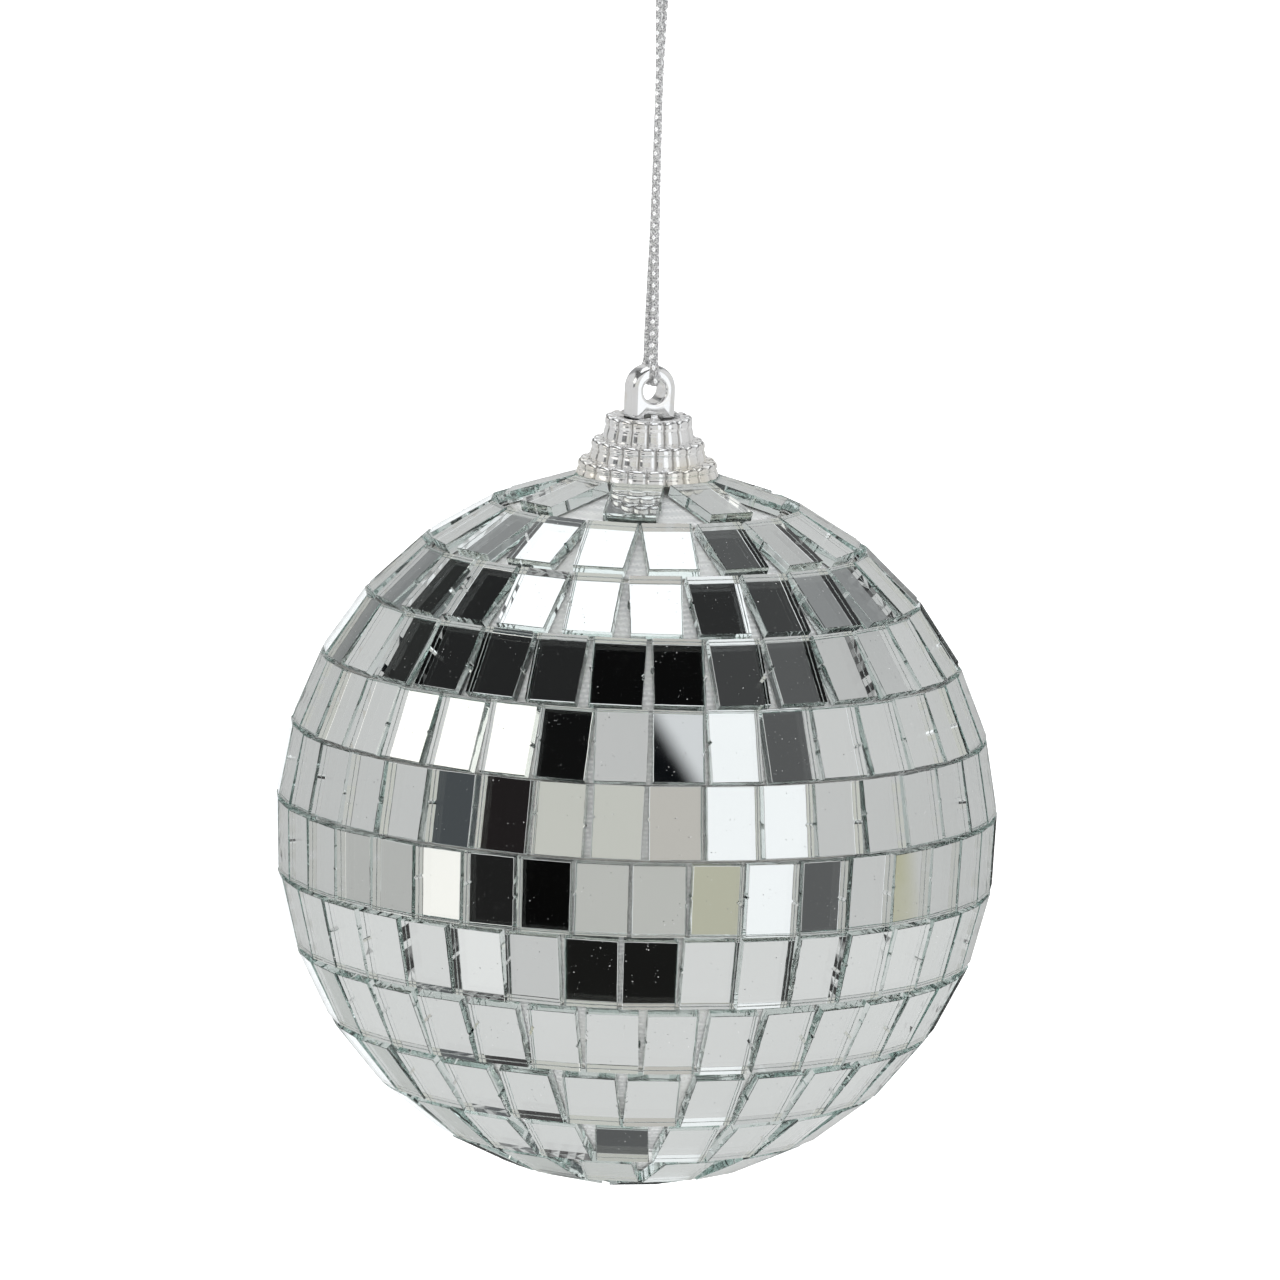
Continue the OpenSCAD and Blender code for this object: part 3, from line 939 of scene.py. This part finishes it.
def make_eye(material):
    """The moulded tab with its hole, as rings round the hole, and the barbed stem below it."""
    half = EYE_T / 2
    section = []
    for s in (-1, 1):
        rim = [(0.0, half - HOLE_CHAMFER)]
        for a in range(ROUNDING_STEP, 91, ROUNDING_STEP):
            lift = math.radians(a)
            rim.append((HOLE_CHAMFER * (1 - math.cos(lift)), half - HOLE_CHAMFER * (1 - math.sin(lift))))
        rows = [("hole", wide, y * s) for wide, y in rim]
        for a in range(90, -1, -ROUNDING_STEP):
            lift = math.radians(a)
            side = (half - EYE_ROUND * (1 - math.sin(lift))) * s
            rows.append(("edge", EYE_ROUND * (1 - math.cos(lift)), side))
        section += rows if s > 0 else list(reversed(rows))
    points = []
    for kind, amount, y in section:
        for i in range(EYE_SIDES):
            a = 2 * math.pi * (i + 0.5) / EYE_SIDES
            reach = EYE_HOLE_R + amount if kind == "hole" else arch_reach(a, amount)
            points.append(hung((reach * math.cos(a), y, EYE_HOLE_Z + reach * math.sin(a))))
    faces = grid_faces(len(section), EYE_SIDES, wrap_rows=True)
    tab = make_piece("hanger_tab", points, faces, [material], smooth=True)
    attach(tab, "ball")
    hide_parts("hanger_eye")
    profile = [(STEM_R, EYE_FOOT_Z + 0.3), (0.02, EYE_FOOT_Z + 0.3), (0.02, EYE_FOOT_Z - STEM_LEN),
               (STEM_R - 0.3, EYE_FOOT_Z - STEM_LEN), (STEM_R, EYE_FOOT_Z - STEM_LEN + 0.3)]
    for depth in sorted(BARB_DEPTHS, reverse=True):
        top = EYE_FOOT_Z - depth
        profile += [(STEM_R, top - BARB_H), (BARB_R, top - 0.1), (BARB_R - 0.1, top), (STEM_R, top)]
    points, faces = lathe(profile, STEM_SIDES)
    stem = make_piece("barbed_stem", [hung(p) for p in points], faces, [material])
    stem.parent = tab


SILVER = cap_material()
make_cap(SILVER)
make_eye(SILVER)


# ---------------------------------------------------------------- carried-over CAD pieces
def finish_cad(node, material):
    """Gives a CAD piece that stays in view its material."""
    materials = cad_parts[node].data.materials
    if not materials:
        materials.append(material)
    for n in range(len(materials)):
        materials[n] = material


GLUE = glue_material()
finish_cad("foam_core", foam_material())
finish_cad("glue_coat", GLUE)
finish_cad("stem_glue", GLUE)


# ---------------------------------------------------------------- studio
TILE_REFLECTANCE = 0.875


def srgb(level, tint=(1, 1, 1)):
    """A light level from 0 to 255, as it should look in a tile, as the panel's colour."""
    linear = ((level / 255 + 0.055) / 1.055) ** 2.4 if level > 10 else level / 255 / 12.92
    return tuple(linear / TILE_REFLECTANCE * t for t in tint) + (1.0,)


# What stands round the ball, in degrees from the compass direction of the camera; a later one covers an earlier
# one: name, azimuth, elevation, half width, half height, softness, slant, level and tint
WARM = (1.02, 1.0, 0.96)
COOL = (0.98, 1.0, 1.02)
PANELS = (
    ("side gallery", 105, 56, 58, 14, 2, 0, 86, COOL),
    ("side gallery foot", 136, 34.5, 14, 11, 3, 0, 136, COOL),
    ("side gallery end", 80, 58.5, 34, 8, 1, 0, 64, COOL),
    ("rear wall", -152, 22, 9, 16, 3, 0, 128, COOL),
    ("rear wall top", 180, 42, 9, 6, 2, 0, 125, COOL),
    ("dark ceiling", -46, 49, 78, 12.5, 1.5, 0, 36, COOL),
    ("dark ceiling middle", 4, 50, 34, 11.5, 2, 0, 11, COOL),
    ("dark ceiling left", -128, 35.5, 22, 9.5, 2, 0, 42, (0.98, 1.02, 1)),
    ("overhead panel", 0, 78, 200, 16.5, 1, 0, 262, COOL),
    ("overhead panel rear", -152, 57, 21, 9, 1.5, 0, 262, COOL),
    ("overhead gap", 95, 70, 32, 7, 2, 0, 45, COOL),
    ("left softbox", -69, 26, 26, 8.5, 1, 0, 268, WARM),
    ("left fill", -66, -14, 8, 5, 1, 0, 242, WARM),
    ("left fill low", -58, -35, 10, 6, 2, 0, 222, (1, 1, 1)),
    ("left drape", -98, -13, 20, 5, 3, 0, 176, (1, 1, 0.98)),
    ("stand head", -29, 33, 8, 5, 1, 0, 16, COOL),
    ("stand case", -62, 7.5, 9, 6, 1, 0, 74, (0.9, 1.0, 1.08)),
    ("stand arm", -43, 9, 9, 6, 1, 0, 30, (1.1, 0.95, 0.98)),
    ("stand base", -37, -14.5, 18, 5, 1, 0, 30, (1, 1, 1)),
    ("stand post", -29, -14.5, 6, 5, 1, 0, 8, (1, 1, 1)),
    ("stand foot", -4, -39, 18, 6, 1, 0, 24, (1, 1, 0.95)),
    ("stand skirt", -37, -38, 8, 5, 2, 0, 192, (1, 1, 1)),
    ("right softbox", 42, 9, 13.5, 27, 1, 0, 242, COOL),
    ("right flag high", 58, 29.5, 6, 5, 1, 0, 86, COOL),
    ("right flag low", 64, -14, 7, 4, 1, 0, 90, COOL),
    ("warm wall", 11, 10, 7, 6, 1, 0, 182, (1.03, 0.99, 0.93)),
    ("neutral wall", -13, 10, 17, 6, 2, 0, 191, (1.0, 1.0, 0.93)),
    ("neutral wall foot", -1, -14.4, 12, 4, 1, 0, 182, (1.0, 1.0, 0.96)),
    ("low rear wall", -160, -31, 24, 10, 4, 0, 186, (1.0, 1.02, 1.0)),
    ("yellow card", 25, -14.3, 4, 4, 0.5, 0, 176, (1.01, 1.0, 0.80)),
    ("low rear box", 180, -64, 12, 7, 2, 0, 88, COOL),
    ("back flag", 176, -9, 8, 8, 1, 0, 30, COOL),
    ("back softbox", -170, -10, 6, 14, 1, 0, 262, COOL),
)
# Edges of things in the studio that cross the view in one tile: name, row and number of the tile, shift in
# azimuth of the panel's middle, half width, half height, softness, slant, level and tint
GLIMPSES = (
    ("pale wall edge", 5, 1, 0.0, 1.2, 0.7, 0.3, 0, 208, (0.98, 1.0, 1.03)),
    ("stand edge", 5, 1, -0.545, 0.5, 0.7, 0.11, 0.65, 13, (0.85, 1.0, 1.25)),
    ("card edge", 7, 5, -0.5, 0.5, 0.7, 0.08, 0.15, 172, (1.02, 1.0, 0.72)),
)
BASE_LEVELS = ((-90, 206), (-45, 207), (-26, 211), (-18, 200), (-12, 189), (0, 188), (12, 193), (26, 199),
               (36, 184), (90, 184))
DIFFUSE_BOOST = 1.1


def panel_group():
    """Lays one soft-edged panel over the light that is already there, in degrees."""
    group = bpy.data.node_groups.new("studio_panel", "ShaderNodeTree")
    for name in ("Azimuth", "Elevation", "Panel Azimuth", "Panel Elevation", "Half Width", "Half Height",
                 "Softness", "Slant"):
        group.interface.new_socket(name, in_out="INPUT", socket_type="NodeSocketFloat")
    for name in ("Behind", "Colour"):
        group.interface.new_socket(name, in_out="INPUT", socket_type="NodeSocketColor")
    group.interface.new_socket("Light", in_out="OUTPUT", socket_type="NodeSocketColor")
    given = group.nodes.new("NodeGroupInput").outputs
    result = group.nodes.new("NodeGroupOutput").inputs

    def maths(operation, *values):
        node = group.nodes.new("ShaderNodeMath")
        node.operation = operation
        for socket, value in zip(node.inputs, values):
            if isinstance(value, (int, float)):
                socket.default_value = value
            else:
                group.links.new(value, socket)
        return node.outputs[0]

    def inside(distance, half):
        node = group.nodes.new("ShaderNodeMapRange")
        node.interpolation_type = "SMOOTHSTEP"
        group.links.new(maths("ABSOLUTE", distance), node.inputs["Value"])
        group.links.new(maths("SUBTRACT", half, given["Softness"]), node.inputs["From Min"])
        group.links.new(maths("ADD", half, given["Softness"]), node.inputs["From Max"])
        node.inputs["To Min"].default_value = 1.0
        node.inputs["To Max"].default_value = 0.0
        return node.outputs["Result"]

    up = maths("SUBTRACT", given["Elevation"], given["Panel Elevation"])
    round_by = maths("WRAP", maths("SUBTRACT", given["Azimuth"], given["Panel Azimuth"]), 180.0, -180.0)
    leaning = maths("ADD", round_by, maths("MULTIPLY", up, given["Slant"]))
    mask = maths("MULTIPLY", inside(leaning, given["Half Width"]), inside(up, given["Half Height"]))
    mixed = group.nodes.new("ShaderNodeMix")
    mixed.data_type = "RGBA"
    group.links.new(mask, mixed.inputs[0])
    group.links.new(given["Behind"], mixed.inputs[MIX_A])
    group.links.new(given["Colour"], mixed.inputs[MIX_B])
    group.links.new(mixed.outputs[MIX_RESULT], result["Light"])
    return group


def all_panels():
    """The panels of the studio, and after them the edges that one tile shows."""
    panels = list(PANELS)
    for name, row, index, shift, *shape in GLIMPSES:
        azimuth_seen, elevation_seen = mirrored_direction(row, index)
        panels.append((name, azimuth_seen + shift, elevation_seen, *shape))
    return panels


def make_studio():
    """A world that is plain white to the camera, and a studio of panels to mirrors and to lit surfaces."""
    world = bpy.data.worlds.new("studio")
    bpy.context.scene.world = world
    world.use_nodes = True
    tree = world.node_tree
    tree.nodes.clear()

    def add(kind, **settings):
        node = tree.nodes.new(kind)
        for key, value in settings.items():
            setattr(node, key, value)
        return node

    def maths(operation, *values):
        node = add("ShaderNodeMath", operation=operation)
        for socket, value in zip(node.inputs, values):
            if isinstance(value, (int, float)):
                socket.default_value = value
            else:
                tree.links.new(value, socket)
        return node.outputs[0]

    split = add("ShaderNodeSeparateXYZ")
    tree.links.new(add("ShaderNodeTexCoord").outputs["Generated"], split.inputs[0])
    x, y, z = split.outputs
    azimuth = maths("DEGREES", maths("ARCTAN2", x, maths("MULTIPLY", y, -1.0)))
    elevation = maths("DEGREES", maths("ARCSINE", z))
    ramp = add("ShaderNodeValToRGB")
    stops = ramp.color_ramp.elements
    while len(stops) < len(BASE_LEVELS):
        stops.new(1.0)
    for stop, (angle, level) in zip(stops, BASE_LEVELS):
        stop.position = (angle + 90) / 180
        stop.color = srgb(level)
    tree.links.new(maths("DIVIDE", maths("ADD", elevation, 90.0), 180.0), ramp.inputs[0])
    light = ramp.outputs[0]
    group = panel_group()
    for name, panel_az, panel_el, wide, tall, soft, slant, level, tint in all_panels():
        panel = add("ShaderNodeGroup", node_tree=group, label=name)
        sockets = panel.inputs
        tree.links.new(azimuth, sockets["Azimuth"])
        tree.links.new(elevation, sockets["Elevation"])
        tree.links.new(light, sockets["Behind"])
        sockets["Panel Azimuth"].default_value = panel_az + VIEW_AZIMUTH
        sockets["Panel Elevation"].default_value = panel_el
        sockets["Half Width"].default_value = wide
        sockets["Half Height"].default_value = tall
        sockets["Softness"].default_value = soft
        sockets["Slant"].default_value = slant
        sockets["Colour"].default_value = srgb(level, tint)
        light = panel.outputs["Light"]
    rays = add("ShaderNodeLightPath").outputs
    studio, backdrop = add("ShaderNodeBackground"), add("ShaderNodeBackground")
    tree.links.new(light, studio.inputs["Color"])
    scattered = maths("GREATER_THAN", rays["Diffuse Depth"], 0.5)
    tree.links.new(maths("ADD", 1.0, maths("MULTIPLY", scattered, DIFFUSE_BOOST)), studio.inputs["Strength"])
    backdrop.inputs["Color"].default_value = (1, 1, 1, 1)
    seen = add("ShaderNodeMixShader")
    tree.links.new(rays["Is Camera Ray"], seen.inputs[0])
    tree.links.new(studio.outputs[0], seen.inputs[1])
    tree.links.new(backdrop.outputs[0], seen.inputs[2])
    tree.links.new(seen.outputs[0], add("ShaderNodeOutputWorld").inputs["Surface"])


def make_floor():
    """A plain pale floor, bright enough to run into the white behind it, and kept out of the mirrors."""
    s = Shader("pale_floor")
    tone = s.noise(s.coords(), 3.0, 2.0)
    s.set(Base_Color=s.mix(tone, (0.9, 0.9, 0.9, 1), (0.94, 0.94, 0.94, 1)), Roughness=0.9,
          Emission_Color=(1, 1, 1, 1), Emission_Strength=0.6)
    turns = [2 * math.pi * i / FLOOR_SIDES for i in range(FLOOR_SIDES)]
    points = [(FLOOR_R * math.cos(a), FLOOR_R * math.sin(a), -FLOOR_DROP) for a in turns]
    floor = make_piece("floor", points, [tuple(range(FLOOR_SIDES))], [s.material])
    floor.visible_glossy = False
    floor.visible_transmission = False


make_studio()
make_floor()
scene = bpy.context.scene
scene.view_settings.view_transform = "Standard"
# Light crosses many slabs of glass at the ball's edges, so short light paths would turn them black
scene.cycles.max_bounces = 32
scene.cycles.glossy_bounces = 16
scene.cycles.transmission_bounces = 24
